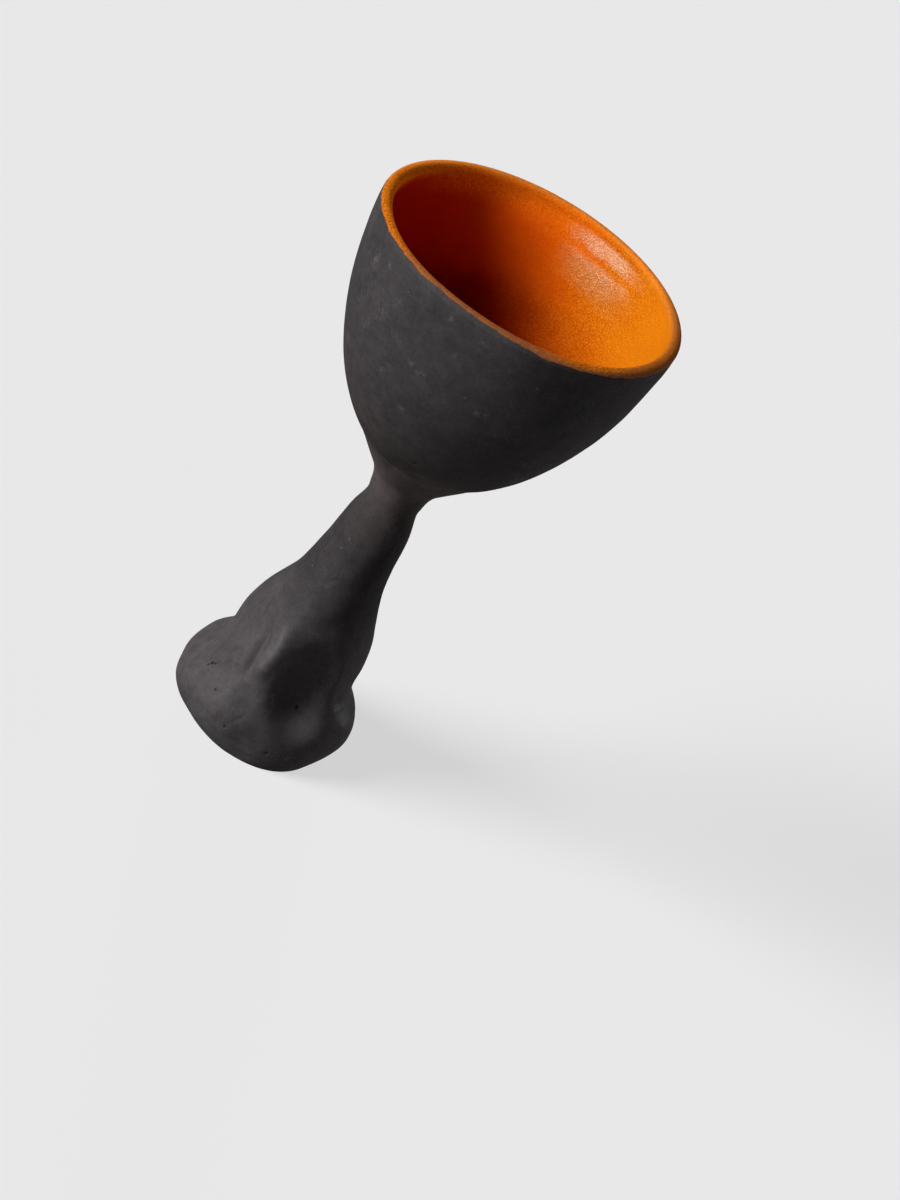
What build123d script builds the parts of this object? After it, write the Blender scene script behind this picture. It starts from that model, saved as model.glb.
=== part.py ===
from build123d import *
import os
from math import acos, atan2, cos, hypot, pi, radians, sin, sqrt

# Hand-built clay goblet in millimetres, resting on z = 0, with the bowl's axis on Z.
# The front is -Y, the side that the thumb pressed.

# Bowl
overall_height = 180.0
rim_diameter = 96.0
bowl_depth = 76.75
bowl_fullness = 1.84
lip_thickness = 3.0
floor_thickness = 6.0

# Glaze lining and slip layers
glaze_thickness = 0.5
glaze_lap = 1.6
glaze_edge = 0.15
slip_thickness = 0.6
slip_inset = 0.3

# Neck
neck_diameter = 17.6
tenon_length = 12.0
collar_wall = 1.3
seat_margin = 1.5
collar_diameter = 43.0
collar_sweep = 14.0
collar_bite = 0.5

# Stem
waist_diameter = 19.2
root_diameter = 40.8
root_lobe = 1.6
flare_share = 0.44
flare_sharpness = 3.8
pinch_share = 0.22
toe_height = 6.0
stem_sections = 15
section_spread = 1.6

# Foot, set a little off the bowl's axis
foot_diameter = 58.0
foot_height = 20.0
sole_diameter = 48.0
foot_top_diameter = 47.0
foot_lobe = 0.8
foot_offset_x = -2.8
foot_offset_y = -2.5
foot_sections = 7
hollow_diameter = 34.0
hollow_depth = 6.0

# The three lobes that stem and foot were pinched into, and the points of each outline
lobe_count = 3
root_angle = 30.0
foot_angle = 55.0
outline_points = 36
profile_points = 10

# Marks pressed with a thumb in front and a finger behind
thumb_angle = -56.0
thumb_height = 30.0
thumb_length = 31.0
thumb_width = 26.0
thumb_depth = 7.0
finger_angle = 118.0
finger_height = 31.0
finger_length = 26.0
finger_width = 24.0
finger_depth = 3.2
press_lean = 16.0

# Sizes that follow from those above
lip_radius = lip_thickness / 2
glazed_lip_radius = lip_radius + glaze_thickness
lip_height = overall_height - glazed_lip_radius
clay_radius = rim_diameter / 2 - glaze_thickness
lip_centre = clay_radius - lip_radius
bore_radius = clay_radius - lip_thickness
clay_depth = bowl_depth - glazed_lip_radius
bore_depth = clay_depth - floor_thickness
neck_radius = neck_diameter / 2
tenon_radius = neck_radius - collar_wall
seat_radius = tenon_radius + seat_margin
collar_radius = collar_diameter / 2
waist_radius = waist_diameter / 2
root_radius = root_diameter / 2
foot_radius = foot_diameter / 2
sole_radius = sole_diameter / 2
foot_top_radius = foot_top_diameter / 2


def egg_point(radius, depth, share):
    """Profile point of the egg shape, from share 0 at the lip to 1 at the bottom."""
    turn = share * pi / 2
    drop = depth * sin(turn) ** (2 / bowl_fullness)
    return radius * cos(turn), lip_height - drop


def egg_points(radius, depth, last_share):
    """Evenly shared points from the lip down to the last share."""
    shares = [last_share * i / profile_points for i in range(profile_points + 1)]
    return [egg_point(radius, depth, share) for share in shares]


def egg_share(radius, at_radius):
    """Share at which the profile has come in to the given radius."""
    return acos(at_radius / radius) * 2 / pi


def egg_curve(radius, depth, last_share=1.0):
    """Smooth profile, upright at the lip."""
    points = egg_points(radius, depth, last_share)
    before = egg_point(radius, depth, last_share * (1 - 1 / profile_points**2))
    end = points[-1]
    run = (-1.0, 0.0) if last_share == 1.0 else (end[0] - before[0], end[1] - before[1])
    return Spline(*points, tangents=[(0, -1), run])


def spin(profile):
    """Turn a flat profile, drawn as radius and height, about the axis."""
    return revolve(Plane.XZ * profile, Axis.Z)


seat_share = egg_share(clay_radius, seat_radius)
seat_height = egg_point(clay_radius, clay_depth, seat_share)[1]
shoulder_height = seat_height - slip_thickness - tenon_length
stem_base = foot_height + slip_thickness
stem_length = shoulder_height - stem_base


def flare(share):
    """How much of the root's spread is left on the way up the stem."""
    return 1 / (1 + (share / flare_share) ** flare_sharpness)


def ease(share):
    """Smooth step from 0 to 1."""
    share = min(max(share, 0.0), 1.0)
    return share * share * (3 - 2 * share)


def stem_share(height):
    return max((height - stem_base) / stem_length, 0.0)


def centre(height):
    """Middle of the stem, drifting from the bowl's axis to the foot's."""
    drift = 1 - ease(stem_share(height))
    return foot_offset_x * drift, foot_offset_y * drift


def lobes(angle, first):
    return cos(lobe_count * (angle - radians(first)))


def foot_side(angle, height):
    """Bun-shaped side, widest where it bulges most."""
    below = sqrt(foot_radius - sole_radius)
    above = sqrt(foot_radius - foot_top_radius)
    widest = foot_height * below / (below + above)
    bulge = foot_radius - (below * (height - widest) / widest) ** 2
    return bulge + foot_lobe * lobes(angle, foot_angle)


def stem_side(angle, height):
    """Flared stem, pinched in at the neck and spread at the toe to meet the foot."""
    share = stem_share(height)
    root = root_radius + root_lobe * lobes(angle, root_angle)
    flared = waist_radius + (root - waist_radius) * flare(share)
    pinch = ease((share - 1 + pinch_share) / pinch_share)
    pinched = flared + (neck_radius - flared) * pinch
    toe = max(1 - share * stem_length / toe_height, 0.0) ** 2
    return pinched + (foot_side(angle, foot_height) - pinched) * toe


def outline(side, height, inset=0.0):
    """Flat face with the outline that a side function gives at one height."""
    x, y = centre(height)
    points = []
    for i in range(outline_points):
        angle = 2 * pi * i / outline_points
        radius = side(angle, height) - inset
        points.append((x + radius * cos(angle), y + radius * sin(angle)))
    return Pos(0, 0, height) * make_face(Spline(*points, periodic=True))


def pile(side, bottom, top, count, spread=1.0):
    """Solid through outlines, which lie closer at the bottom if spread is over 1."""
    shares = [(i / (count - 1)) ** spread for i in range(count)]
    return loft([outline(side, bottom + (top - bottom) * share) for share in shares])


def press(angle, height, length, width, depth):
    """Spheroid that leaves a dent of the given depth in the stem's side."""
    turn = radians(angle)
    x, y = centre(height)
    reach = stem_side(turn, height) + width / 2 - depth
    half = make_face(
        [
            EllipticalCenterArc((0, 0), width / 2, length / 2, -90, arc_size=180),
            Line((0, -length / 2), (0, length / 2)),
        ]
    )
    lean = Rot(Y=-press_lean)
    spot = Pos(x + reach * cos(turn), y + reach * sin(turn), height)
    return spot * Rot(Z=angle) * lean * spin(half)


def lip_arc(radius):
    """Half round over the lip, from the inside to the outside."""
    return ThreePointArc(
        (lip_centre - radius, lip_height),
        (lip_centre, lip_height + radius),
        (lip_centre + radius, lip_height),
    )


def bowl_profile():
    outside = egg_curve(clay_radius, clay_depth, seat_share)
    inside = egg_curve(bore_radius, bore_depth)
    return make_face(
        [
            outside,
            Line(outside @ 1, (0, seat_height)),
            Line((0, seat_height), inside @ 1),
            inside,
            lip_arc(lip_radius),
        ]
    )


def glaze_profile():
    """Everything within the glaze's face down to the middle of the wall, less the clay."""
    face = egg_curve(bore_radius - glaze_thickness, bore_depth - glaze_thickness)
    middle_radius = (clay_radius + bore_radius) / 2
    middle = egg_curve(middle_radius, (clay_depth + bore_depth) / 2)
    over = lip_arc(glazed_lip_radius)
    lap_end = (lip_centre, lip_height - glaze_lap)
    lap_mid = (clay_radius + glaze_edge, lip_height - glaze_lap)
    return make_face(
        [
            face,
            over,
            Line(over @ 1, lap_mid),
            Line(lap_mid, lap_end),
            Line(lap_end, middle @ 0),
            middle,
            Line(middle @ 1, face @ 1),
        ]
    ) - bowl_profile()


def collar_profile():
    """Coil from the neck to the underside of the bowl, before the bowl is cut out of it."""
    share = egg_share(clay_radius, collar_radius)
    top_radius, top_height = egg_point(clay_radius, clay_depth, share)
    hub = (neck_radius + collar_sweep, shoulder_height)
    reach = hypot(top_radius - hub[0], top_height - hub[1])
    turn = atan2(top_height - hub[1], top_radius - hub[0]) + acos(collar_sweep / reach)
    touch = (hub[0] + collar_sweep * cos(turn), hub[1] + collar_sweep * sin(turn))
    bite = (top_radius + collar_bite * sin(turn), top_height - collar_bite * cos(turn))
    half = (pi + turn) / 2
    middle = (hub[0] + collar_sweep * cos(half), hub[1] + collar_sweep * sin(half))
    start = (neck_radius, shoulder_height)
    inner_top = (tenon_radius, bite[1])
    inner_bottom = (tenon_radius, shoulder_height)
    return make_face(
        [
            Line(inner_bottom, start),
            ThreePointArc(start, middle, touch),
            Line(touch, bite),
            Line(bite, inner_top),
            Line(inner_top, inner_bottom),
        ]
    )


def egg_profile():
    """Outside of the bowl, filled in."""
    outside = egg_curve(clay_radius, clay_depth, seat_share)
    return make_face(
        [
            outside,
            Line(outside @ 1, (0, seat_height)),
            Line((0, seat_height), (0, lip_height)),
            Line((0, lip_height), outside @ 0),
        ]
    )


def disc(radius, bottom, height):
    lift = Pos(0, 0, bottom)
    return lift * Cylinder(radius, height, align=(Align.CENTER, Align.CENTER, Align.MIN))


def sole_hollow():
    """Ball segment that hollows the underside and leaves a ring to stand on."""
    half = hollow_diameter / 2
    ball = (half**2 + hollow_depth**2) / (2 * hollow_depth)
    x, y = centre(0)
    return Pos(x, y, hollow_depth - ball) * Sphere(ball)


thumb = press(thumb_angle, thumb_height, thumb_length, thumb_width, thumb_depth)
finger = press(finger_angle, finger_height, finger_length, finger_width, finger_depth)

bowl = spin(bowl_profile())
interior_glaze = spin(glaze_profile())
neck_collar = spin(collar_profile() - egg_profile())
neck_slip = disc(tenon_radius, seat_height - slip_thickness, slip_thickness)

stem = pile(stem_side, stem_base, shoulder_height, stem_sections, section_spread)
stem += disc(tenon_radius, shoulder_height, tenon_length)
stem -= thumb
stem -= finger

foot_slip = extrude(outline(stem_side, foot_height, slip_inset), slip_thickness)
foot_slip -= thumb
foot_slip -= finger

foot = pile(foot_side, 0.0, foot_height, foot_sections)
foot -= sole_hollow()
foot -= thumb
foot -= finger

nodes = {
    "bowl": bowl,
    "interior_glaze": interior_glaze,
    "neck_collar": neck_collar,
    "neck_slip": neck_slip,
    "stem": stem,
    "foot_slip": foot_slip,
    "foot": foot,
}

os.makedirs("parts", exist_ok=True)
for name, solid in nodes.items():
    export_step(solid, f"parts/{name}.step")
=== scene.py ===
import math

import bpy
import numpy as np
from mathutils import Matrix, Vector, noise
from mathutils.bvhtree import BVHTree


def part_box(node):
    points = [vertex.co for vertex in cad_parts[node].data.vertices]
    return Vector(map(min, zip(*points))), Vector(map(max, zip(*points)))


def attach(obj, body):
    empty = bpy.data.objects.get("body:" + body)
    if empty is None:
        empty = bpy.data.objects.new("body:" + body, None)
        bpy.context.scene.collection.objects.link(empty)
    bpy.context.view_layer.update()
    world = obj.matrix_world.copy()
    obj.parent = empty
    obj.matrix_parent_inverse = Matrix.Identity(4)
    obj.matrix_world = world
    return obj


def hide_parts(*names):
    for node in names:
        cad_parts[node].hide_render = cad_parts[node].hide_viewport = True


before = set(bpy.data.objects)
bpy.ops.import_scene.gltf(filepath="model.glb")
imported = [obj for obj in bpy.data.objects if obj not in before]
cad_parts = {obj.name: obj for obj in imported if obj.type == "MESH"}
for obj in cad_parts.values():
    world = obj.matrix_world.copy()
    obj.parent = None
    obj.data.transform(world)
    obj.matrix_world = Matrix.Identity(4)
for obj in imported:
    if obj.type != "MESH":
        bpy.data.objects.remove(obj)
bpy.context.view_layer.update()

# A goblet of dark, rubbed clay with an orange glaze inside.
# Sizes are in millimetres until a mesh is made. The front is -Y, and angles run from +X towards +Y.
# Places on the clay are given as degrees round the axis and a level.
METRE = 1000.0
TURN = 480
ANGLES = np.arange(TURN) * math.tau / TURN
DEGREES = np.degrees(ANGLES)
COS, SIN = np.cos(ANGLES), np.sin(ANGLES)


def level(node, end):
    """Lowest (0) or highest (1) level of a CAD node."""
    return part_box(node)[end].z * METRE


# Levels at which one piece of clay meets the next
SLIP_BOTTOM, SLIP_TOP = level("foot_slip", 0), level("foot_slip", 1)
FOOT_JOINT = (SLIP_BOTTOM + SLIP_TOP) / 2
NECK = level("neck_collar", 0)
TENON_TOP = level("stem", 1)
SEAT = level("bowl", 0)
LIP = 178.0

# Egg-shaped walls: radius at the lip and depth below it
EGG_FULLNESS = 1.84
OUTSIDE = (47.5, 74.75)
BORE = (44.5, 68.75)
GLAZE_FACE = (44.0, 68.25)
SEAT_RADIUS = 9.0
TENON_RADIUS = 7.5
COLLAR_RADIUS = 21.5
SLIP_INSET = 0.3

# Lip: half round, with the glaze thinning out to an edge on the outside
CREST_RADIUS = 46.0
LIP_ROUND = 2.0
GLAZE_THICKNESS = 0.5
GLAZE_EDGE = 0.06
RIM_FLARE = CREST_RADIUS + LIP_ROUND - GLAZE_EDGE - OUTSIDE[0]

# Foot, which stands a little off the bowl's axis, and the hollow under it
FOOT_MIDDLE = np.array([-2.8, -2.5])
HOLLOW_RADIUS = 17.0
HOLLOW_DEPTH = 6.0

# Steps of the rays that feel the CAD and of the rows along the clay, numbers of rows elsewhere,
# and the radius of the ring next to a middle point
FEEL_STEP = 0.35
ROW_STEP = 0.5
BOWL_ROWS = 110
GLAZE_ROWS = 104
BORE_ROWS = 40
UNDER_ROWS = 12
LIP_ROWS = 14
CLAY_LIP_ROWS = 22
HOLLOW_ROWS = 34
SMALLEST_RING = 0.8


# Shapes

def ease(share):
    """Smooth step from 0 to 1."""
    share = np.clip(share, 0.0, 1.0)
    return share * share * (3.0 - 2.0 * share)


def around(*places):
    """Values at all angles, eased between those given as (degrees, value)."""
    angles = np.array([place[0] for place in places] + [places[0][0] + 360.0])
    values = np.array([place[1] for place in places] + [places[0][1]])
    turned = (DEGREES - angles[0]) % 360.0 + angles[0]
    after = np.clip(np.searchsorted(angles, turned, side="right"), 1, len(angles) - 1)
    share = (turned - angles[after - 1]) / (angles[after] - angles[after - 1])
    return values[after - 1] + (values[after] - values[after - 1]) * ease(share)


def sector(first, last, fade):
    """1 between two angles in degrees, fading out beyond them."""
    away = np.abs((DEGREES - (first + last) / 2.0 + 180.0) % 360.0 - 180.0)
    return 1.0 - ease((away - (last - first) / 2.0) / fade)


def jitter(waves, seed):
    """Smooth noise round the rim, with about so many waves."""
    scale = waves / math.tau
    places = [Vector((cos * scale, sin * scale, seed)) for cos, sin in zip(COS, SIN)]
    return np.array([noise.noise(place) for place in places])


# How far the rim leaves its circle, and how it rises and falls
RIM_SWAY = around((-180, -0.5), (-95, -0.1), (-20, 0.15), (40, 0.15), (100, -0.1))
RIM_WAVE = around(
    (-180, 0.0), (-140, -0.25), (-100, 0.3), (-45, -0.2), (20, 0.0), (90, 0.1), (150, 0.0),
)
# Levels from which the rim's wave and flare come in, and the heights that they take
WAVE_FROM, WAVE_RISE = 160.0, 17.0
FLARE_FROM, FLARE_RISE = 164.0, 14.0
# Level at which the glaze ends on the outside
GLAZE_END = around(
    (-180, 178.8), (-140, 179.3), (-100, 179.5), (-62, 178.8), (-15, 178.3), (60, 178.5), (150, 178.7),
)
GLAZE_END = GLAZE_END + 0.35 * jitter(60, 3.0) + 0.2 * jitter(170, 8.0)
# Level to which the collar's clay was smeared up the bowl, and how far it fades out there. Below it the clay
# is also painted lighter and browner, as reflected light
SMEAR_FADE = 8.0
SMEAR_END = around(
    (-180, 110), (-123, 109.8), (-110, 107.8), (-92, 114.4), (-80, 118), (-50, 115), (-8, 108),
    (22, 115), (58, 107), (96, 113), (128, 106.5), (154, 114),
)
SMEAR_END = SMEAR_END + 1.6 * jitter(26, 5.0)


def egg(wall, height):
    """Radius of an egg-shaped wall at a level."""
    radius, depth = wall
    share = np.clip((LIP - height) / depth, 0.0, 1.0)
    return radius * np.sqrt(1.0 - share**EGG_FULLNESS)


def egg_levels(wall, first, last, count):
    """Levels that share out the wall from one radius to another."""
    radius, depth = wall
    turns = np.linspace(math.acos(first / radius), math.acos(last / radius), count)
    return LIP - depth * np.sin(turns) ** (2.0 / EGG_FULLNESS)


COLLAR_TOP = float(egg_levels(OUTSIDE, COLLAR_RADIUS, COLLAR_RADIUS, 1)[0])


def grown(height):
    """How much of the rim's sway has come in at a level of the bowl."""
    return ease((height - COLLAR_TOP) / (LIP - COLLAR_TOP))


def stem_middle(height):
    """Middle of foot, stem and bowl at each level, which drifts along the stem."""
    drift = 1.0 - ease((height - SLIP_TOP) / (NECK - SLIP_TOP))
    return drift[:, None] * FOOT_MIDDLE


def probe(*nodes):
    """Search tree over the faces of some CAD nodes."""
    corners, faces = [], []
    for node in nodes:
        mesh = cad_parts[node].data
        faces += [[len(corners) + i for i in face.vertices] for face in mesh.polygons]
        corners += [vertex.co for vertex in mesh.vertices]
    return BVHTree.FromPolygons(corners, faces)


def feel(tree, heights, reach=80.0):
    """Radius of the outside at each level and angle, felt by rays that come in level."""
    radii = np.empty((len(heights), TURN))
    for row, (height, middle) in enumerate(zip(heights, stem_middle(heights))):
        for turn in range(TURN):
            out = Vector((COS[turn], SIN[turn], 0.0))
            start = Vector((*middle, height)) + out * reach
            found = tree.ray_cast(start / METRE, -out)
            radii[row, turn] = reach - found[3] * METRE
    return radii


def even_levels(heights, radii, step):
    """Levels one step apart along the mean profile."""
    mean = radii.mean(axis=1)
    length = np.concatenate([[0.0], np.cumsum(np.hypot(np.diff(mean), np.diff(heights)))])
    count = max(int(round(length[-1] / step)), 2) + 1
    return np.interp(np.linspace(0.0, length[-1], count), length, heights)


def between(heights, radii, wanted):
    """Radii at other levels than those that were felt."""
    return np.stack([np.interp(wanted, heights, radii[:, i]) for i in range(TURN)], axis=1)


def soften_round(radii, angle):
    """Evens the radii out round the axis, over an angle in degrees."""
    waves = np.arange(TURN // 2 + 1) * math.radians(angle)
    return np.fft.irfft(np.fft.rfft(radii, axis=1) * np.exp(-0.5 * waves**2), TURN, axis=1)


def soften_along(radii, passes):
    """Evens the radii out up and down, keeping the first and last rows."""
    for _ in range(passes):
        inner = (radii[:-2] + 2.0 * radii[1:-1] + radii[2:]) / 4.0
        radii = np.concatenate([radii[:1], inner, radii[-1:]])
    return radii


class Skin:
    """Outside of the clay from the sole to the lip, as radii over levels and angles."""

    def __init__(self, heights, radii):
        self.heights, self.radii = heights, radii
        self.middles = stem_middle(heights)
        self.scuffs = np.zeros(radii.shape)
        self.pits = np.zeros(radii.shape)
        self.worn = np.zeros(radii.shape)

    def points(self):
        """Points of the skin, row by row."""
        x = self.middles[:, :1] + self.radii * COS
        y = self.middles[:, 1:] + self.radii * SIN
        return np.stack([x, y, np.broadcast_to(self.heights[:, None], x.shape)], axis=2)

    def normals(self):
        """Normals of the skin at its points."""
        points = self.points()
        around_it = np.roll(points, -1, axis=1) - np.roll(points, 1, axis=1)
        up = np.gradient(points, axis=0)
        normals = np.cross(around_it, up)
        return normals / np.linalg.norm(normals, axis=2, keepdims=True)

    def lumps(self, size, seed, stretch=1.0):
        """Smooth noise from -1 to 1 over the skin, with lumps of a size."""
        scale = np.array([1.0, 1.0, 1.0 / stretch]) / size
        flat = (self.points() * scale).reshape(-1, 3) + seed * 17.3
        values = [noise.noise(Vector(point)) for point in flat]
        return np.array(values).reshape(self.radii.shape)

    def near(self, path):
        """Distance from a path of (degrees, level) points, and share of the way along it."""
        best = np.full(self.radii.shape, np.inf)
        share = np.zeros(self.radii.shape)
        pairs = list(zip(path, path[1:])) or [(path[0], path[0])]
        arc = np.radians(self.radii)
        for index, ((angle, height), (next_angle, next_height)) in enumerate(pairs):
            across = ((DEGREES - angle + 180.0) % 360.0 - 180.0) * arc
            up = np.broadcast_to((self.heights - height)[:, None], across.shape)
            run = ((next_angle - angle + 180.0) % 360.0 - 180.0) * arc
            rise = next_height - height
            way = (across * run + up * rise) / np.maximum(run**2 + rise**2, 1e-9)
            way = np.clip(way, 0.0, 1.0)
            distance = np.hypot(across - way * run, up - way * rise)
            nearer = distance < best
            best = np.where(nearer, distance, best)
            share = np.where(nearer, (index + way) / len(pairs), share)
        return best, share

    def trace(self, path, width, fade):
        """1 along a path, falling off beside it and towards its ends."""
        distance, share = self.near(path)
        ends = ease(share / fade) * ease((1.0 - share) / fade) if fade else 1.0
        return np.exp(-((distance / width) ** 2)) * ends

    def stroke(self, path, width, lift, fade=0.25):
        """Raises the skin along a path, or sinks it if lift is below 0."""
        self.radii = self.radii + lift * self.trace(path, width, fade)

    def soften(self, first, last, fade, levels, angle, passes):
        """Evens out part of the skin: between two angles, and between levels that fade it in and out."""
        low, full, ending, high = levels
        height = self.heights[:, None]
        share = ease((height - low) / (full - low)) * (1.0 - ease((height - ending) / (high - ending)))
        softer = soften_along(soften_round(self.radii, angle), passes)
        self.radii = self.radii + (softer - self.radii) * share * sector(first, last, fade)

    def dent(self, spot, width, depth):
        """Small pit, which stays dark."""
        mark = self.trace([spot], width, 0.0)
        self.radii = self.radii - depth * mark
        self.pits = np.maximum(self.pits, mark)

    def scuff(self, angle, height, length, lean, width, strength):
        """Pale rubbed mark, whose length is reckoned at one radius for the whole skin."""
        reach, at_radius = length / 2.0, 40.0
        turn = math.degrees(reach * math.cos(math.radians(lean)) / at_radius)
        rise = reach * math.sin(math.radians(lean))
        path = [(angle - turn, height - rise), (angle + turn, height + rise)]
        self.scuffs = np.maximum(self.scuffs, strength * self.trace(path, width, 0.4))


# Angle, level, length, lean in degrees, width and strength of each scuff
SCUFFS = (
    (-142, 169.5, 7.0, 70, 1.6, 0.6), (-140, 166.0, 5.0, 55, 0.9, 0.5), (-133, 173.0, 3.0, 20, 0.8, 0.8),
    (-122, 167.6, 2.5, 40, 0.7, 0.7), (-120, 172.0, 2.0, -20, 0.7, 0.9), (-102, 174.9, 1.4, 10, 0.8, 1.0),
    (-89, 174.3, 5.0, -8, 0.6, 0.5), (-95, 166.0, 2.0, 30, 0.6, 0.6), (-134, 152.0, 9.0, 65, 1.4, 0.4),
    (-107, 155.0, 4.0, 25, 0.8, 0.6), (-103, 154.0, 5.0, 30, 0.7, 0.5), (-78, 152.7, 2.4, 50, 0.7, 0.9),
    (-75, 153.6, 2.0, -30, 0.7, 0.8), (-104, 139.0, 3.0, 10, 0.7, 0.5), (-83, 126.6, 2.0, 10, 0.6, 0.7),
    (-64, 169.0, 6.0, 35, 0.7, 0.5), (-59, 167.0, 5.0, 40, 0.6, 0.5), (-148, 140.0, 10.0, 75, 1.6, 0.35),
    (-118, 146.0, 12.0, 60, 1.2, 0.3), (-128, 160.0, 10.0, 70, 1.5, 0.35), (-155, 72.0, 3.0, 60, 0.7, 0.6),
    (-114, 76.6, 3.0, 45, 0.6, 0.6), (-118, 72.6, 2.5, -40, 0.6, 0.6), (-60, 6.9, 6.0, 2, 0.8, 1.0),
    (-52, 6.4, 7.0, -3, 0.8, 1.0), (-80.5, 22.0, 8.7, -50, 0.5, 0.9),
    (-172, 8.0, 2.0, 30, 0.7, 0.7), (-101, 42.0, 1.4, 40, 0.6, 0.7), (-150, 12.0, 6.0, 30, 1.6, 0.2),
    (40, 160.0, 8.0, 60, 1.3, 0.5), (75, 150.0, 6.0, 30, 0.9, 0.5), (110, 168.0, 5.0, -25, 0.8, 0.6),
    (150, 155.0, 9.0, 65, 1.5, 0.4), (10, 172.0, 4.0, 15, 0.7, 0.7), (-30, 148.0, 8.0, 50, 1.2, 0.4),
    (95, 60.0, 5.0, 60, 0.9, 0.5), (30, 75.0, 4.0, 45, 0.8, 0.5), (60, 10.0, 6.0, 10, 0.9, 0.5),
)
# Angle, level, width and depth of each pit
PITS = (
    (-139.7, 18.9, 0.6, 0.4), (-137.4, 19.6, 0.4, 0.25), (-140.6, 17.8, 0.4, 0.25), (-120.4, 15.8, 0.5, 0.2),
    (-100.1, 9.1, 0.4, 0.12), (-66.9, 6.5, 0.5, 0.2), (-51, 19.7, 0.55, 0.3), (-88, 121.5, 0.5, 0.2),
    (20, 14.0, 0.6, 0.3), (140, 12.0, 0.6, 0.3),
)


def pinch_stem(skin):
    """Marks of pinching and pressing on stem and foot."""
    height = skin.heights[:, None]

    # The foot was smeared up into the stem at the front's left, so that no valley is left there
    flowing = soften_along(skin.radii, 260)
    smeared = sector(-146, -104, 38) * ease((height - 9.0) / 8.0) * (1.0 - ease((height - 40.0) / 12.0))
    skin.radii = skin.radii + (flowing - skin.radii) * smeared

    # Stem and foot are uneven all over
    pinched = ease((height - 3.0) / 6.0) * (1.0 - ease((height - 84.0) / 14.0))
    skin.radii = skin.radii + 0.3 * pinched * skin.lumps(11.0, 1, 1.7)
    skin.radii = skin.radii + 0.1 * pinched * skin.lumps(4.0, 2, 1.4)

    # The hollow runs out softly above, and its left edge and the foot's front were pressed with it
    skin.stroke([(-74, 54), (-70, 46), (-64, 38)], 6.0, -1.6)
    skin.stroke([(-82, 42), (-86, 38), (-89, 31), (-87, 25), (-79, 20)], 2.6, -1.0)
    flat_depths = ([0.0, 3.0, 6.0, 9.0, 13.0, 17.0, 21.0, 25.0], [0.0, 2.2, 3.8, 4.4, 3.9, 2.7, 1.2, 0.0])
    flat_share = around((-180, 0.0), (-128, 0.0), (-74, 1.0), (-58, 1.0), (5, 0.0), (90, 0.0))
    skin.radii = skin.radii - np.interp(height, *flat_depths) * flat_share
    skin.soften(-88, -36, 14.0, (28.0, 36.0, 54.0, 64.0), 5.0, 40)
    skin.soften(-80, -25, 16.0, (4.0, 9.0, 22.0, 30.0), 4.0, 130)

    # Ridge beside the pressed hollow, and the crease on its other side. The ridge's worn mark is rubbed
    # glossy and is also painted paler, as a sheen highlight
    skin.stroke([(-137, 36), (-134, 29), (-129, 22)], 7.0, 1.1)
    ridge = [
        (-110, 48), (-103, 43.5), (-100, 40), (-99.5, 37), (-101.5, 33), (-101.5, 29.6), (-100.5, 25),
    ]
    skin.stroke(ridge, 3.4, 1.9)
    skin.worn = skin.trace(ridge, 2.6, 0.3)
    crease = [
        (-131, 44), (-122, 40.5), (-115.5, 37), (-112.5, 33), (-111, 29), (-109.5, 25.5), (-108.5, 22),
    ]
    skin.stroke(crease, 2.0, -1.95, 0.35)
    skin.stroke([(-101, 21.5), (-98.5, 18)], 3.2, -0.7, 0.0)

    # Fine lines where the clay was folded
    skin.stroke([(-106, 60.4), (-97, 63.1), (-88, 65.6)], 0.9, -0.16)
    skin.stroke([(-102, 7.8), (-98, 11.7), (-90, 17.0)], 0.8, -0.14)

    # Flats pressed into the left side, and the notch where the foot's seam comes out there
    skin.stroke([(182, 34), (178, 42), (172, 50)], 7.0, -0.7, 0.0)
    skin.stroke([(-162, 12.0), (-170, 15), (177, 18.5), (170, 19.5)], 5.0, -1.9, 0.0)
    skin.stroke([(-173, 13.5), (-178, 16), (176, 17.0)], 4.2, -3.0, 0.0)
    skin.stroke([(-179, 11), (173, 13.4), (167, 15)], 3.5, -1.6, 0.0)
    skin.stroke([(176, 44), (170, 54)], 9.0, -0.6, 0.0)

    # Soft bulges and a flat on the foot's side
    skin.stroke([(-160, 6.0), (-146, 4.5)], 4.5, 0.8, 0.0)
    skin.stroke([(-105, 15), (-103, 9)], 6.5, 0.9, 0.0)
    skin.stroke([(-132, 9.5), (-108, 9.5)], 4.0, -0.7, 0.0)
    skin.stroke([(-125, 2.0), (-95, 2.0)], 2.5, 0.35, 0.0)

    # The left side was smoothed, and a short seam is left on it
    skin.soften(145, 225, 16.0, (3.0, 7.0, 46.0, 56.0), 2.0, 14)
    skin.stroke([(-188, 31), (-178, 28.5), (-174, 25.5), (-165, 24.0)], 1.4, -0.7, 0.5)


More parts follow.
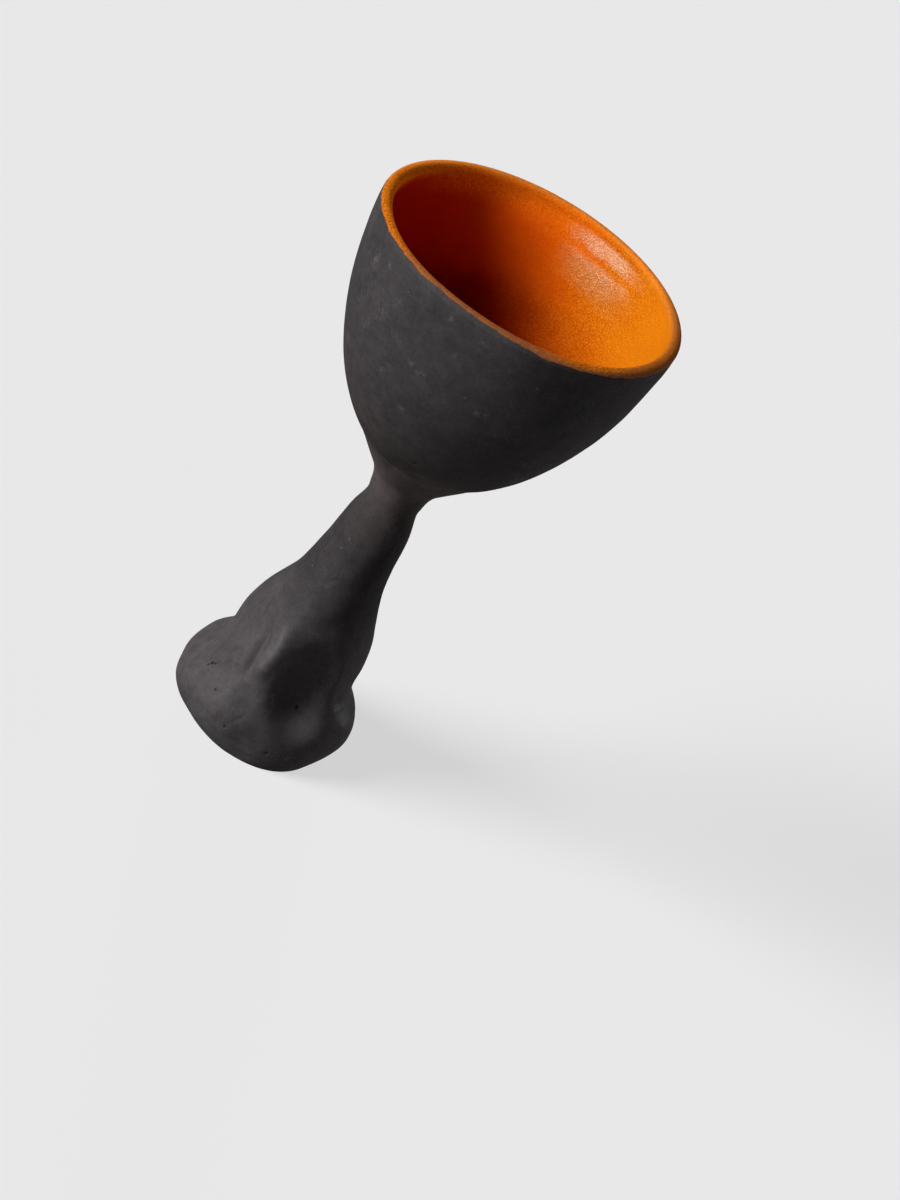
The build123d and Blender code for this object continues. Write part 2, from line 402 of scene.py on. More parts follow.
def mould_skin():
    """The felt outside of the CAD clay with the marks on it, and the rows at which its pieces meet."""
    above_floor, gap = 0.02, 0.15
    low = np.arange(above_floor, SLIP_BOTTOM - gap, FEEL_STEP)
    high = np.arange(SLIP_TOP + gap, COLLAR_TOP - gap, FEEL_STEP)
    felt_levels = np.concatenate([low, high])
    felt = feel(probe("foot", "stem", "neck_collar", "bowl"), felt_levels)

    pieces = [(0.0, FOOT_JOINT), (FOOT_JOINT, NECK), (NECK, COLLAR_TOP)]
    levels = []
    for bottom, top in pieces:
        inside = (felt_levels > bottom) & (felt_levels < top)
        heights = np.concatenate([[bottom], felt_levels[inside], [top]])
        rows = even_levels(heights, between(felt_levels, felt, heights), ROW_STEP)
        levels.append(rows if not levels else rows[1:])
    bowl_levels = egg_levels(OUTSIDE, COLLAR_RADIUS, OUTSIDE[0], BOWL_ROWS)[1:]
    seams = [int(row) for row in np.cumsum([len(rows) for rows in levels]) - 1]
    lower = np.concatenate(levels)
    radii = soften_along(soften_round(between(felt_levels, felt, lower), 3.0), 8)
    wall = np.repeat(egg(OUTSIDE, bowl_levels)[:, None], TURN, axis=1)
    skin = Skin(np.concatenate([lower, bowl_levels]), np.concatenate([radii, wall]))
    pinch_stem(skin)

    # The bowl was beaten a little out of round, and widens to meet the glaze at the lip
    height = skin.heights[:, None]
    flare = RIM_FLARE * ease((height - FLARE_FROM) / FLARE_RISE)
    skin.radii = skin.radii + grown(height) * RIM_SWAY + flare
    uneven = ease((height - NECK) / 20.0) * (1.0 - ease((height - 168.0) / 10.0))
    skin.radii = skin.radii + uneven * (0.2 * skin.lumps(19.0, 3) + 0.07 * skin.lumps(6.0, 4))

    # The collar's edge, smeared over the bowl
    edge = [(DEGREES[i], SMEAR_END[i]) for i in range(0, TURN, 8)] + [(360.0, SMEAR_END[0])]
    skin.stroke(edge, 0.8, -0.07, 0.0)
    for spot in PITS:
        skin.dent(spot[:2], *spot[2:])
    for mark in SCUFFS:
        skin.scuff(*mark)
    return skin, seams


# Meshes

def ring(radius, height, middle=(0.0, 0.0)):
    """Points of one ring. The radius and the level may change round it."""
    points = np.empty((TURN, 3))
    points[:, 0] = middle[0] + radius * COS
    points[:, 1] = middle[1] + radius * SIN
    points[:, 2] = height
    return points


def stack(name, rings, start=None, end=None):
    """Closed mesh through a row of rings, which end in two points or run into each other."""
    rings = np.asarray(rings)
    count = len(rings)
    corners = rings.reshape(-1, 3)
    grid = np.arange(count * TURN).reshape(count, TURN)
    if start is None:
        grid = np.concatenate([grid, grid[:1]])
    here, there = grid[:-1], grid[1:]
    beside, beyond = np.roll(here, -1, axis=1), np.roll(there, -1, axis=1)
    faces = np.stack([here, beside, beyond, there], axis=2).reshape(-1, 4).tolist()
    if start is not None:
        corners = np.concatenate([corners, [start, end]])
        first, last = grid[0], grid[-1]
        faces += np.stack([np.full(TURN, count * TURN), np.roll(first, -1), first], axis=1).tolist()
        faces += np.stack([np.full(TURN, count * TURN + 1), last, np.roll(last, -1)], axis=1).tolist()
    mesh = bpy.data.meshes.new(name)
    mesh.from_pydata((corners / METRE).tolist(), [], faces)
    mesh.update()
    mesh.polygons.foreach_set("use_smooth", np.ones(len(mesh.polygons), bool))
    piece = bpy.data.objects.new(name, mesh)
    bpy.context.scene.collection.objects.link(piece)
    return piece


def dress_as_skin(piece, first_ring, skin, rows):
    """Gives the rings of the outside the whole skin's normals, so that no joint shows, and its marks."""
    mesh = piece.data
    shading = np.empty(len(mesh.vertices) * 3, np.float32)
    mesh.vertex_normals.foreach_get("vector", shading)
    shading = shading.reshape(-1, 3)
    normals = skin.normals()[rows]
    first = first_ring * TURN
    last = first + normals.shape[0] * TURN
    shading[first:last] = normals.reshape(-1, 3)
    mesh.normals_split_custom_set_from_vertices(shading.tolist())
    # Below the collar's smeared edge, where the clay is also painted lighter and browner, as reflected light
    smear_and_bounce_light = 1.0 - ease((skin.heights[:, None] - SMEAR_END) / SMEAR_FADE + 0.5)
    marks = {"scuffs": skin.scuffs, "pits": skin.pits, "worn": skin.worn, "smear_and_bounce_light": smear_and_bounce_light}
    for name, mark in marks.items():
        values = np.zeros(len(mesh.vertices), np.float32)
        values[first:last] = mark[rows].reshape(-1)
        mesh.attributes.new(name, "FLOAT", "POINT").data.foreach_set("value", values)


def lip_rings(clay, first, last, count=LIP_ROWS):
    """Rings over the lip from one angle to another: 0 is outside, 90 the crest, 180 inside.

    Those of the clay lie under the glaze, which is thickest inside.
    """
    rings = []
    for turn in np.linspace(first, last, count):
        thicker = (GLAZE_THICKNESS - GLAZE_EDGE) * float(ease((turn - 40.0) / 100.0))
        depth = GLAZE_EDGE + thicker if clay else 0.0
        across = (LIP_ROUND - depth) * math.cos(math.radians(turn))
        up = (LIP_ROUND - depth) * math.sin(math.radians(turn))
        rings.append(ring(CREST_RADIUS + across + RIM_SWAY, LIP + up))
    return rings


def wave_rim(rings):
    """Lets the rim rise and fall."""
    rings = np.asarray(rings)
    rings[:, :, 2] += RIM_WAVE * ease((rings[:, :, 2] - WAVE_FROM) / WAVE_RISE)
    return rings


def slip_radius(skin):
    """Radius of the slip layer, which stays within the clay above and below it."""
    levels = np.array([SLIP_BOTTOM, FOOT_JOINT, SLIP_TOP])
    return between(skin.heights, skin.radii, levels).min(axis=0) - SLIP_INSET


def make_slip(skin):
    """Thin layer of slip between foot and stem."""
    radius = slip_radius(skin)
    rings = [
        ring(radius * 0.5, SLIP_BOTTOM, FOOT_MIDDLE),
        ring(radius, SLIP_BOTTOM, FOOT_MIDDLE),
        ring(radius, SLIP_TOP, FOOT_MIDDLE),
        ring(radius * 0.5, SLIP_TOP, FOOT_MIDDLE),
    ]
    return stack("slip_layer", rings, (*FOOT_MIDDLE, SLIP_BOTTOM), (*FOOT_MIDDLE, SLIP_TOP))


def make_foot(skin, top):
    """Foot, from the hollow under it to the bed of the slip on top."""
    middle = FOOT_MIDDLE
    edge, slip_edge = skin.radii[0], slip_radius(skin)
    ball = (HOLLOW_RADIUS**2 + HOLLOW_DEPTH**2) / (2.0 * HOLLOW_DEPTH)
    rings = []
    for radius in np.linspace(SMALLEST_RING, HOLLOW_RADIUS, HOLLOW_ROWS):
        rise = math.sqrt(ball**2 - radius**2) - (ball - HOLLOW_DEPTH)
        rings.append(ring(radius, rise, middle))
    for share in (0.15, 0.4, 0.65, 0.85):
        rings.append(ring(HOLLOW_RADIUS + (edge - HOLLOW_RADIUS) * share, 0.0, middle))
    first_side = len(rings)
    rings += list(skin.points()[:top + 1])
    rings += [
        ring(slip_edge, FOOT_JOINT, middle),
        ring(slip_edge, SLIP_BOTTOM, middle),
        ring(slip_edge * 0.5, SLIP_BOTTOM, middle),
    ]
    piece = stack("clay_foot", rings, (*middle, HOLLOW_DEPTH), (*middle, SLIP_BOTTOM))
    dress_as_skin(piece, first_side, skin, slice(0, top + 1))
    return piece


def make_stem(skin, bottom, top):
    """Stem, from the bed of the slip up to the end of its tenon."""
    slip_edge = slip_radius(skin)
    middle = skin.middles[bottom]
    rings = [
        ring(slip_edge * 0.5, SLIP_TOP, middle),
        ring(slip_edge, SLIP_TOP, middle),
        ring(slip_edge, FOOT_JOINT, middle),
    ]
    first_side = len(rings)
    rings += list(skin.points()[bottom:top + 1])
    rings += [ring(TENON_RADIUS, NECK), ring(TENON_RADIUS, TENON_TOP), ring(TENON_RADIUS / 2, TENON_TOP)]
    piece = stack("clay_stem", rings, (*middle, SLIP_TOP), (0.0, 0.0, TENON_TOP))
    dress_as_skin(piece, first_side, skin, slice(bottom, top + 1))
    return piece


def under_bowl():
    """Rings of the bowl's underside within the collar, from the seat outwards."""
    levels = egg_levels(OUTSIDE, SEAT_RADIUS, COLLAR_RADIUS, UNDER_ROWS)[:-1]
    return [ring(egg(OUTSIDE, height), height) for height in levels]


def make_collar(skin, bottom, top):
    """Coil round the tenon, which fills the corner under the bowl."""
    rings = list(skin.points()[bottom:top + 1])
    rings += under_bowl()[::-1]
    rings += [ring(TENON_RADIUS, SEAT), ring(TENON_RADIUS, NECK)]
    piece = stack("neck_coil", rings)
    dress_as_skin(piece, 0, skin, slice(bottom, top + 1))
    return piece


def bore_rings():
    """Inside of the clay, from the lip down."""
    levels = egg_levels(BORE, BORE[0], 1.0, BORE_ROWS)
    levels = levels[levels < LIP - 0.5]
    return [ring(egg(BORE, height) + grown(height) * RIM_SWAY, height) for height in levels]


def make_bowl(skin, bottom):
    """Bowl, from the seat up the outside, over the lip and down the inside."""
    rings = [ring(SEAT_RADIUS / 2, SEAT)] + under_bowl()
    first_side = len(rings)
    rings += list(skin.points()[bottom:])
    rings += lip_rings(True, 0, 180, CLAY_LIP_ROWS)
    rings += bore_rings()
    piece = stack("clay_bowl", wave_rim(rings), (0.0, 0.0, SEAT), (0.0, 0.0, LIP - BORE[1]))
    dress_as_skin(piece, first_side, skin, slice(bottom, None))
    return piece


def make_glaze():
    """Glaze, up its face, over the lip to its edge, and back along the clay."""
    levels = egg_levels(GLAZE_FACE, SMALLEST_RING, GLAZE_FACE[0], GLAZE_ROWS)
    levels = levels[levels < LIP - 0.2]
    face = np.stack([egg(GLAZE_FACE, height) + grown(height) * RIM_SWAY for height in levels])
    inner = Skin(levels, face)
    inner.middles = np.zeros((len(levels), 2))

    # The face is lumpy, swells under the lip at the back right, and has a shallow groove all round there
    settled = ease((levels - 112.0) / 12.0) * (1.0 - ease((levels - 166.0) / 9.0))
    inner.radii = inner.radii + 0.2 * settled[:, None] * inner.lumps(15.0, 5)
    swell = ease((levels - 144.0) / 24.0) * np.clip((177.4 - levels) / 7.0, 0.0, 1.0)
    inner.radii = inner.radii - 2.2 * soften_along(swell[:, None], 4) * sector(30, 95, 35)
    groove = [(turn, 171.6 + 0.5 * math.sin(math.radians(2 * turn))) for turn in range(0, 361, 8)]
    inner.stroke(groove, 0.7, 0.14, 0.0)
    rings = list(inner.points())
    rings += lip_rings(False, 178, 92)

    # Over the crest the glaze thins out to an uneven edge on the clay
    crest = LIP + LIP_ROUND
    for share in (0.03, 0.12, 0.25, 0.42, 0.6, 0.8, 0.94, 1.0):
        height = crest - (crest - GLAZE_END) * share
        rise = np.clip((height - LIP) / LIP_ROUND, 0.0, 1.0)
        rings.append(ring(CREST_RADIUS + LIP_ROUND * np.sqrt(1.0 - rise**2) + RIM_SWAY, height))
    edge_rise, edge_tuck = 0.05, 0.16
    outward = np.stack([COS, SIN, np.zeros(TURN)], axis=1)
    rings.append(rings[-1] + (rings[-2] - rings[-1]) * edge_rise - outward * edge_tuck)
    rings += lip_rings(True, 40, 180)
    rings += bore_rings()
    rings = wave_rim(rings)[::-1]
    return stack("orange_glaze", rings, (0.0, 0.0, LIP - BORE[1]), (0.0, 0.0, LIP - GLAZE_FACE[1]))


# Finishes

class Wire:
    """A socket of a finish's nodes. Arithmetic on it adds Math nodes."""

    def __init__(self, finish, socket):
        self.finish, self.socket = finish, socket

    def reckon(self, operation, first, second):
        """Math node of two wires or numbers."""
        return self.finish.node("ShaderNodeMath", {"operation": operation}, {0: first, 1: second})

    def __add__(self, other):
        return self.reckon("ADD", self, other)

    def __radd__(self, other):
        return self.reckon("ADD", other, self)

    def __sub__(self, other):
        return self.reckon("SUBTRACT", self, other)

    def __rsub__(self, other):
        return self.reckon("SUBTRACT", other, self)

    def __mul__(self, other):
        return self.reckon("MULTIPLY", self, other)

    def __rmul__(self, other):
        return self.reckon("MULTIPLY", other, self)

    def __pow__(self, other):
        return self.reckon("POWER", self, other)


class Finish:
    """A material, or another holder of nodes, with the few ways in which its nodes are made."""

    def __init__(self, holder):
        holder.use_nodes = True
        self.holder, self.tree = holder, holder.node_tree
        self.tree.nodes.clear()

    def node(self, kind, settings=None, sockets=None, output=0):
        """Adds a node: its settings first, then the values or wires of its sockets."""
        node = self.tree.nodes.new(kind)
        for name, value in (settings or {}).items():
            setattr(node, name, value)
        for name, value in (sockets or {}).items():
            socket = self.find(node.inputs, name)
            if isinstance(value, Wire):
                self.tree.links.new(value.socket, socket)
            else:
                socket.default_value = value
        return Wire(self, self.find(node.outputs, output)) if node.outputs else None

    @staticmethod
    def find(sockets, name):
        """Socket by its number, its identifier or its name."""
        if isinstance(name, int):
            return sockets[name]
        return next((each for each in sockets if each.identifier == name), None) or sockets[name]

    def place(self):
        """Position on the object."""
        return self.node("ShaderNodeTexCoord", output="Object")

    def axes(self):
        """Position on the object as three values, in millimetres."""
        place = self.place()
        return [self.node("ShaderNodeSeparateXYZ", {}, {0: place}, axis) * METRE for axis in "XYZ"]

    def mark(self, name):
        """Marks that were left on the mesh."""
        return self.node("ShaderNodeAttribute", {"attribute_name": name}, output="Fac")

    def grain(self, size, detail=2.0, rough=0.5, stretch=(1.0, 1.0, 1.0), seed=0.0, place=None):
        """Noise of a size in millimetres, which may be drawn out along the axes."""
        place = self.node(
            "ShaderNodeMapping", {"vector_type": "TEXTURE"},
            {"Vector": place or self.place(), "Scale": [share * size / METRE for share in stretch],
             "Location": (seed, seed * 0.7, seed * 0.3)},
        )
        return self.node(
            "ShaderNodeTexNoise", {"noise_dimensions": "3D"},
            {"Vector": place, "Scale": 1.0, "Detail": detail, "Roughness": rough},
        )

    def rubbing(self, lean, width, length, seed):
        """Noise drawn out into fine lines that climb round the axis, by an angle for each metre."""
        place = self.place()
        climb = self.node("ShaderNodeSeparateXYZ", {}, {0: place}, "Z") * lean
        turned = self.node(
            "ShaderNodeVectorRotate", {"rotation_type": "Z_AXIS"}, {"Vector": place, "Angle": climb},
        )
        return self.grain(width, 2.0, 0.6, (1.0, 1.0, length / width), seed, turned)

    def step(self, value, low, high):
        """Smooth change from 0 at low to 1 at high."""
        return self.node(
            "ShaderNodeMapRange", {"interpolation_type": "SMOOTHSTEP"},
            {"Value": value, "From Min": low, "From Max": high, "To Min": 0.0, "To Max": 1.0},
        )

    def fall(self, value, low, high):
        """Smooth change from 1 at low to 0 at high."""
        return 1.0 - self.step(value, low, high)

    def spots(self, spacing, size, share, seed=0.0):
        """Small round spots in some of the cells of a Voronoi pattern."""
        place = self.node(
            "ShaderNodeMapping", {"vector_type": "TEXTURE"},
            {"Vector": self.place(), "Scale": (spacing / METRE,) * 3, "Location": (seed, seed, seed)},
        )
        cells = {"Vector": place, "Scale": 1.0}
        far = self.node("ShaderNodeTexVoronoi", {"feature": "F1"}, cells, "Distance")
        lot = self.node("ShaderNodeTexVoronoi", {"feature": "F1"}, cells, "Color")
        lot = self.node("ShaderNodeSeparateColor", {}, {0: lot}, "Red")
        reach = size / spacing
        return self.step(far, reach, reach * 0.4) * self.step(lot, 1.0 - share, 1.0 - share * 0.6)

    def blend(self, share, first, second):
        """Mix of two colours."""
        return self.node(
            "ShaderNodeMix", {"data_type": "RGBA", "clamp_factor": True},
            {"Factor_Float": share, "A_Color": first, "B_Color": second}, "Result_Color",
        )

    def coats(self, colour, *layers):
        """Colours laid over each other, each with its share."""
        for share, paint in layers:
            colour = self.blend(share, colour, (*paint, 1.0))
        return colour

    def bump(self, height, distance, strength=1.0, under=None):
        """Normal from a height, with a distance in millimetres."""
        sockets = {"Height": height, "Distance": distance / METRE, "Strength": strength}
        if under is not None:
            sockets["Normal"] = under
        return self.node("ShaderNodeBump", {}, sockets)

    def surface(self, **sockets):
        """Principled shader."""
        named = {name.replace("_", " "): value for name, value in sockets.items()}
        named["Specular IOR Level"] = named.pop("Shine")
        return self.node("ShaderNodeBsdfPrincipled", {}, named)

    def done(self, shader, kind="Material"):
        """Puts the shader on the output."""
        self.node(f"ShaderNodeOutput{kind}", {}, {"Surface": shader})
        return self.holder


def grey(value, red=1.0, green=1.0, blue=1.0):
    """Colour of a brightness, which may lean to a hue."""
    return (value * red, value * green, value * blue, 1.0)


def charcoal_clay():
    """Dark clay, rubbed smooth, with clouds, fine scratches, pale flecks and pits."""
    clay = Finish(bpy.data.materials.new("charcoal_clay"))
    z = clay.axes()[2]
    clouds = clay.grain(17.0, 3.0, 0.6)
    smudges = clay.grain(3.6, 4.0, 0.65, seed=3.1)
    dust = clay.grain(0.9, 3.0, 0.7, seed=5.7)

    # Burnishing lines, in two leans and only in patches
    patch = clay.step(clay.grain(15.0, 2.0, 0.5, seed=2.3), 0.42, 0.62)
    lines = clay.step(clay.rubbing(17.0, 0.8, 13.0, 1.3), 0.52, 0.72)
    cross = clay.step(clay.rubbing(-26.0, 0.7, 9.0, 4.4), 0.56, 0.74)
    hoops = clay.step(clay.grain(0.9, 2.0, 0.6, (16.0, 16.0, 1.0), 6.6), 0.55, 0.75)
    rubbed = (lines + cross * 0.8) * patch + hoops * 0.35

    scuffs = clay.mark("scuffs") * clay.step(dust * 1.2 + smudges * 0.6, 0.82, 1.0)
    # Collar's smear, also painted lighter and browner as reflected light
    smear_and_bounce_light = clay.mark("smear_and_bounce_light") * clay.step(z, 82.0, 102.0)
    # Worn ridge: glossier, and also painted paler as a sheen highlight
    worn = clay.mark("worn")
    pits = clay.spots(9.0, 0.55, 0.2, 0.81) + clay.mark("pits") * 1.2
    flecks = clay.spots(5.5, 0.4, 0.3, 0.37)
    speck = clay.spots(13.0, 0.75, 0.3, 0.59)

    # The foot is paler and the stem darker than the bowl, and the neck is browner
    low = clay.fall(z, 26.0, 58.0)
    waist = clay.step(z, 44.0, 60.0) * clay.fall(z, 88.0, 104.0)
    neck = clay.step(z, 50.0, 105.0) * clay.fall(z, 108.0, 150.0)
    tone = 0.0565 + low * 0.016 - waist * 0.0155
    tone = tone * (1.0 + (clouds - 0.5) * 0.75 + (smudges - 0.5) * 0.8 + (dust - 0.5) * 0.6)
    # Rubbed lines and scuffs are paler; the smear is painted lighter, as reflected light, and the worn ridge
    # paler, as a painted sheen highlight
    tone = tone * (1.0 + rubbed * 0.16 + scuffs * 1.1 + smear_and_bounce_light * 0.75 + worn * 0.18)
    tone = tone + flecks * 0.05 + speck * 0.03
    tone = tone * (1.0 - clay.step(pits, 0.2, 0.9) * 0.75)
    charcoal = clay.blend(tone, grey(0.0), grey(1.0, 1.065, 0.965, 0.995))
    brown = clay.blend(tone, grey(0.0), grey(1.0, 1.25, 0.95, 0.92))
    # Browner at the smear as painted reflected light, in cloudy patches, and at the neck
    browner = smear_and_bounce_light * 0.4 + clay.step(clouds, 0.5, 0.75) * 0.12 + neck * 0.3
    colour = clay.blend(browner, charcoal, brown)

    rough = 0.78 - low * 0.18 + (clouds - 0.5) * 0.3 - rubbed * 0.05 - scuffs * 0.1
    normal = clay.bump(dust, 0.05, 0.55)
    normal = clay.bump(smudges, 0.22, 0.5, normal)
    normal = clay.bump(flecks * 0.6 - rubbed * 0.25 - pits * 2.0 - scuffs * 0.3, 0.08, 0.8, normal)
    dull = clay.surface(Base_Color=colour, Roughness=rough, Shine=0.0, Normal=normal)
    burnished = clay.surface(Base_Color=colour, Roughness=rough - 0.2, Shine=0.25, Normal=normal)
    share = 0.08 + worn * 0.25 + rubbed * 0.1
    return clay.done(clay.node("ShaderNodeMixShader", {}, {0: share, 1: dull, 2: burnished}))


def interior_glaze():
    """Orange glaze, grainy like peel, that breaks brown over the lip and shines in two bands. Painted shade
    darkens its left, its bottom and the lip's right end; painted light brightens its back, its right and the
    two bands.
    """
    glaze = Finish(bpy.data.materials.new("orange_glaze"))
    x, y, z = glaze.axes()
    radius = (x * x + y * y) ** 0.5
    clouds = glaze.grain(13.0, 3.0, 0.55)
    wipes = glaze.grain(2.2, 2.0, 0.6, (6.0, 6.0, 1.0), 4.9)
    peel = glaze.grain(1.1, 2.0, 0.6, seed=2.2)
    speck = glaze.grain(0.45, 2.0, 0.6, seed=6.1)
    grit = glaze.grain(0.7, 3.0, 0.7, seed=7.7)
    uneven = (glaze.grain(7.0, 3.0, 0.6, seed=9.4) - 0.5) * 2.0
    cloudy, wiped = clouds - 0.5, wipes - 0.5
    cloudy_x, uneven_x = x + cloudy * 10.0, x + uneven * 3.0

    # Painted shade makes it darker and redder at the bottom, low down and on the left; painted light makes
    # it paler and brighter at the back, under the lip at the back left, and on the right
    bottom_painted_shade = glaze.fall(z + cloudy * 12.0, 122.0, 152.0)
    left_painted_shade = glaze.fall(x + cloudy * 16.0, -26.0, 22.0) * glaze.fall(z, 175.0, 178.4)
    low_left_painted_shade = glaze.fall(cloudy_x, -16.0, 18.0) * glaze.fall(z + cloudy * 8.0, 140.0, 160.0)
    mid_back_painted_light = glaze.step(cloudy_x, -36.0, -14.0) * glaze.fall(x, 4.0, 22.0) * glaze.step(z, 145.0, 158.0)
    mid_back_painted_light = mid_back_painted_light * glaze.step(y, 6.0, 26.0)
    under_lip_painted_light = glaze.step(z, 168.5, 176.0) * glaze.step(x, -46.0, -26.0) * glaze.fall(x, 0.0, 22.0)
    under_lip_painted_light = under_lip_painted_light * glaze.step(y, 4.0, 24.0) * (0.3 + glaze.step(speck, 0.42, 0.6) * 0.7)
    # Painted shade: darker and redder low down in the bowl
    low = glaze.fall(z, 138.0, 162.0)
    # Painted light: paler and yellower on the right
    right = glaze.step(cloudy_x, 20.0, 42.0)
    bright_speck, dark_speck = glaze.step(speck, 0.48, 0.64), glaze.fall(speck, 0.34, 0.5)
    ground = glaze.step(clouds + wiped * 0.5, 0.2, 0.8)
    colour = glaze.blend(ground, (0.62, 0.125, 0.0025, 1.0), (0.72, 0.165, 0.004, 1.0))
    colour = glaze.coats(
        colour,
        (bright_speck * 0.65, (0.90, 0.33, 0.014)),
        (dark_speck * 0.5, (0.34, 0.045, 0.0015)),
        (bottom_painted_shade * 0.9, (0.26, 0.022, 0.001)),
        (left_painted_shade * 0.92, (0.56, 0.01, 0.0006)),
        (low * 0.5, (0.60, 0.05, 0.002)),
        (low_left_painted_shade * 0.9, (0.17, 0.003, 0.0003)),
        (right * 0.6, (0.70, 0.205, 0.004)),
        (mid_back_painted_light * 0.55, (0.94, 0.13, 0.003)),
        (under_lip_painted_light, (1.0, 0.20, 0.006)),
    )

    # Two bands at the back right are glossier, in streaks, and are also painted a paler tan as a painted
    # highlight
    streaky_z = z + (uneven * 1.6 + wiped * 5.0)
    upper = glaze.step(streaky_z, 172.2, 174.4) * glaze.fall(z, 176.4, 178.0)
    lower = glaze.step(streaky_z, 159.0, 166.0) * glaze.fall(streaky_z, 169.6, 172.2)
    polished_and_painted_highlight = (upper + lower) * glaze.step(uneven_x, 0.0, 11.0) * glaze.fall(uneven_x, 18.0, 32.0)
    polished_and_painted_highlight = polished_and_painted_highlight * glaze.step(y, 10.0, 24.0)
    shine = polished_and_painted_highlight * (0.6 + glaze.step(speck, 0.44, 0.58) * 0.6)

    # The lip is gritty. It is worn to a dull tan in front, and its thin edge lets the clay through. Its back
    # is painted brighter, as painted light, and its right end browner, as painted shade
    lip = glaze.step(radius, 44.0, 45.2) * glaze.step(z, 176.0, 177.5)
    outer = glaze.step(radius + uneven * 0.5, 46.9, 47.7) * lip
    worn = glaze.step(uneven * 3.0 - y, 30.0, 44.0) * glaze.fall(x, 8.0, 30.0) * lip
    back, lip_right_painted_shade = glaze.step(y, 0.0, 22.0), glaze.step(x, 30.0, 44.0)
    bright_grit, dark_grit = glaze.step(grit, 0.5, 0.62), glaze.fall(grit, 0.36, 0.48)
    bare = (outer * 0.6 + worn * 0.4) * glaze.step(speck * 0.6 + peel * 0.4, 0.5, 0.62)
    # Coats: painted highlight on the glossy bands, then the lip, with painted light at its back and painted
    # shade at its right end
    colour = glaze.coats(
        colour,
        (polished_and_painted_highlight * 0.4, (0.54, 0.23, 0.01)),
        (lip * 0.35, (0.52, 0.125, 0.008)),
        (lip * back * 0.95, (1.0, 0.28, 0.03)),
        (lip * dark_grit * 0.38, (0.27, 0.045, 0.003)),
        (lip * bright_grit * 0.65, (0.98, 0.27, 0.03)),
        (outer * 0.75, (0.45, 0.17, 0.06)),
        (worn * 0.75, (0.28, 0.10, 0.042)),
        (lip * lip_right_painted_shade * 0.55, (0.24, 0.08, 0.025)),
        (bare, (0.13, 0.065, 0.04)),
    )

    normal = glaze.bump(peel, 0.25, 0.8)
    normal = glaze.bump(speck + grit * lip * 1.5, 0.28, 0.9, normal)
    rougher = (peel - 0.5) * 0.2
    dull = glaze.surface(Base_Color=colour, Roughness=0.65 + rougher, Shine=0.0, Normal=normal)
    satin = glaze.surface(Base_Color=colour, Roughness=0.35 + rougher, Shine=0.52, Normal=normal)
    return glaze.done(glaze.node("ShaderNodeMixShader", {}, {0: shine, 1: dull, 2: satin}))


def joining_slip():
    """Dried slip, slightly paler than the clay."""
    slip = Finish(bpy.data.materials.new("joining_slip"))
    grain = slip.grain(1.2, 3.0, 0.6)
    colour = slip.blend(slip.step(grain, 0.3, 0.7), grey(0.1), grey(0.15, 1.0, 0.97, 0.94))
    rough = 0.75 + (grain - 0.5) * 0.2
    normal = slip.bump(grain, 0.05)
    return slip.done(slip.surface(Base_Color=colour, Roughness=rough, Shine=0.3, Normal=normal))


# Studio

BACKGROUND = 0.806
FLOOR_HALF = 6.0

# Camera, as solved from the rim's outline: place in metres, angles in degrees, focal length in pixels
CAMERA_PLACE = (0.02991, -0.89907, 0.61695)
CAMERA_DOWN = 31.2755
CAMERA_ROLL = -31.729
FOCAL_PIXELS = 3534.75
PICTURE_HEIGHT = 1200.0


def seen_directly(finish):
    """1 for rays that show the background itself: camera, glossy and transmitted ones."""
    names = ("Is Camera Ray", "Is Glossy Ray", "Is Transmission Ray")
    rays = [finish.node("ShaderNodeLightPath", output=name) for name in names]
    both = finish.node("ShaderNodeMath", {"operation": "MAXIMUM"}, {0: rays[0], 1: rays[1]})
    return finish.node("ShaderNodeMath", {"operation": "MAXIMUM"}, {0: both, 1: rays[2]})


def make_floor():
    """Wide floor that looks like the backdrop and takes a soft shadow."""
    corners = [(x * FLOOR_HALF, y * FLOOR_HALF, 0.0) for x, y in ((-1, -1), (1, -1), (1, 1), (-1, 1))]
    mesh = bpy.data.meshes.new("studio_floor")
    mesh.from_pydata(corners, [], [(0, 1, 2, 3)])
    floor = bpy.data.objects.new("studio_floor", mesh)
    bpy.context.scene.collection.objects.link(floor)
    paint = Finish(bpy.data.materials.new("pale_floor"))
    bounce = paint.node("ShaderNodeBsdfDiffuse", {}, {"Color": grey(0.18)})
    shade = paint.node("ShaderNodeBsdfDiffuse", {}, {"Color": grey(0.3)})
    glow = paint.node("ShaderNodeEmission", {}, {"Color": grey(1.0), "Strength": 0.62})
    shown = paint.node("ShaderNodeAddShader", {}, {0: shade, 1: glow})
    mixed = paint.node("ShaderNodeMixShader", {}, {0: seen_directly(paint), 1: bounce, 2: shown})
    mesh.materials.append(paint.done(mixed))


def make_world():
    """Backdrop that looks pale and gives little light."""
    world = bpy.data.worlds.new("studio")
    bpy.context.scene.world = world
    sky = Finish(world)
    up = sky.node("ShaderNodeSeparateXYZ", {}, {0: sky.node("ShaderNodeTexCoord")}, "Z")
    backdrop = sky.blend(sky.step(up, 0.2, 0.7), grey(BACKGROUND), grey(0.2))
    fill = sky.node("ShaderNodeBackground", {}, {"Color": grey(0.012)})
    shown = sky.node("ShaderNodeBackground", {}, {"Color": backdrop})
    sky.done(sky.node("ShaderNodeMixShader", {}, {0: seen_directly(sky), 1: fill, 2: shown}), "World")


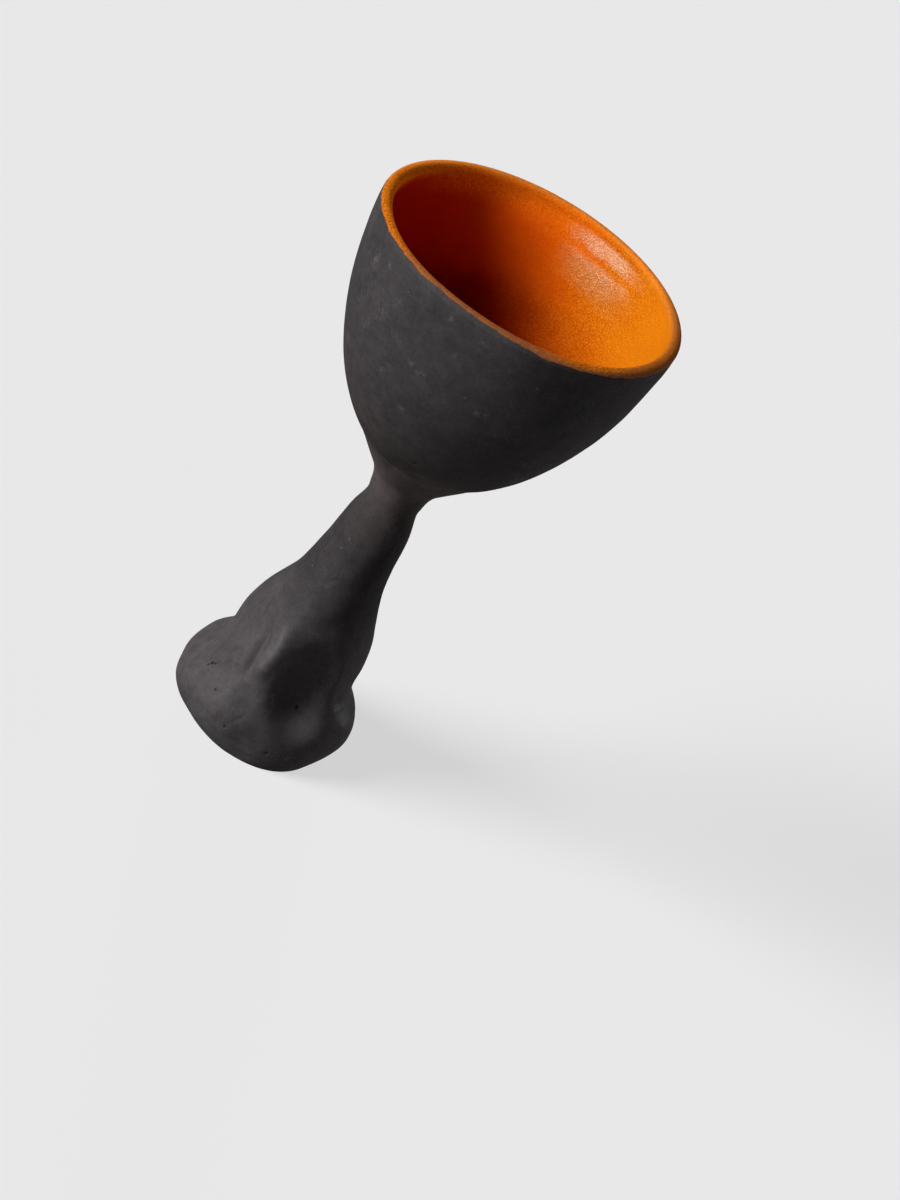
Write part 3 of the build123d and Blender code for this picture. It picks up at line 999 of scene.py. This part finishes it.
def lamp(name, from_direction, strength, angle, only_gloss=False):
    """Soft lamp so far off that it lights everything alike, or that shows only in the gloss."""
    light = bpy.data.lights.new(name, "SUN")
    light.energy = strength * math.pi
    light.angle = math.radians(angle)
    holder = bpy.data.objects.new(name, light)
    holder.visible_diffuse = not only_gloss
    holder.rotation_euler = Vector(from_direction).to_track_quat("Z", "Y").to_euler()
    bpy.context.scene.collection.objects.link(holder)


def make_camera():
    """Camera at the photo's angle: above the rim and turned about its view."""
    down, roll = math.radians(CAMERA_DOWN), math.radians(CAMERA_ROLL)
    ahead = Vector((0.0, math.cos(down), -math.sin(down)))
    level_right = Vector((1.0, 0.0, 0.0))
    level_up = Vector((0.0, math.sin(down), math.cos(down)))
    right = math.cos(roll) * level_right - math.sin(roll) * level_up
    up = math.sin(roll) * level_right + math.cos(roll) * level_up
    data = bpy.data.cameras.new("camera")
    data.sensor_width = 36.0
    data.lens = FOCAL_PIXELS / PICTURE_HEIGHT * data.sensor_width
    camera = bpy.data.objects.new("camera", data)
    turn = Matrix((right, up, -ahead)).transposed().to_4x4()
    camera.matrix_world = Matrix.Translation(CAMERA_PLACE) @ turn
    bpy.context.scene.collection.objects.link(camera)
    bpy.context.scene.camera = camera


# Assembly

def put(piece, node, material):
    """Gives a piece its finish and its place in the frame."""
    piece.data.materials.append(material)
    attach(piece, "root")
    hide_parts(node)


make_camera()
skin, (foot_top, stem_top, collar_top) = mould_skin()
clay, glaze, slip = charcoal_clay(), interior_glaze(), joining_slip()
put(make_foot(skin, foot_top), "foot", clay)
put(make_stem(skin, foot_top, stem_top), "stem", clay)
put(make_collar(skin, stem_top, collar_top), "neck_collar", clay)
put(make_bowl(skin, collar_top), "bowl", clay)
put(make_glaze(), "interior_glaze", glaze)
put(make_slip(skin), "foot_slip", slip)
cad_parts["neck_slip"].material_slots[0].material = slip

make_floor()
make_world()
lamp("key_lamp", (-0.772, -0.428, 0.469), 1.2, 28.0)
lamp("gloss_lamp", (-0.69, -0.70, 0.17), 1.35, 13.0, True)
lamp("front_fill", (0.55, -0.82, 0.15), 0.075, 16.0)
lamp("side_lamp", (0.72, 0.69, 0.05), 0.3, 10.0)
lamp("back_lamp", (-0.2, 0.98, 0.05), 0.4, 10.0)
bpy.context.scene.view_settings.view_transform = "Standard"
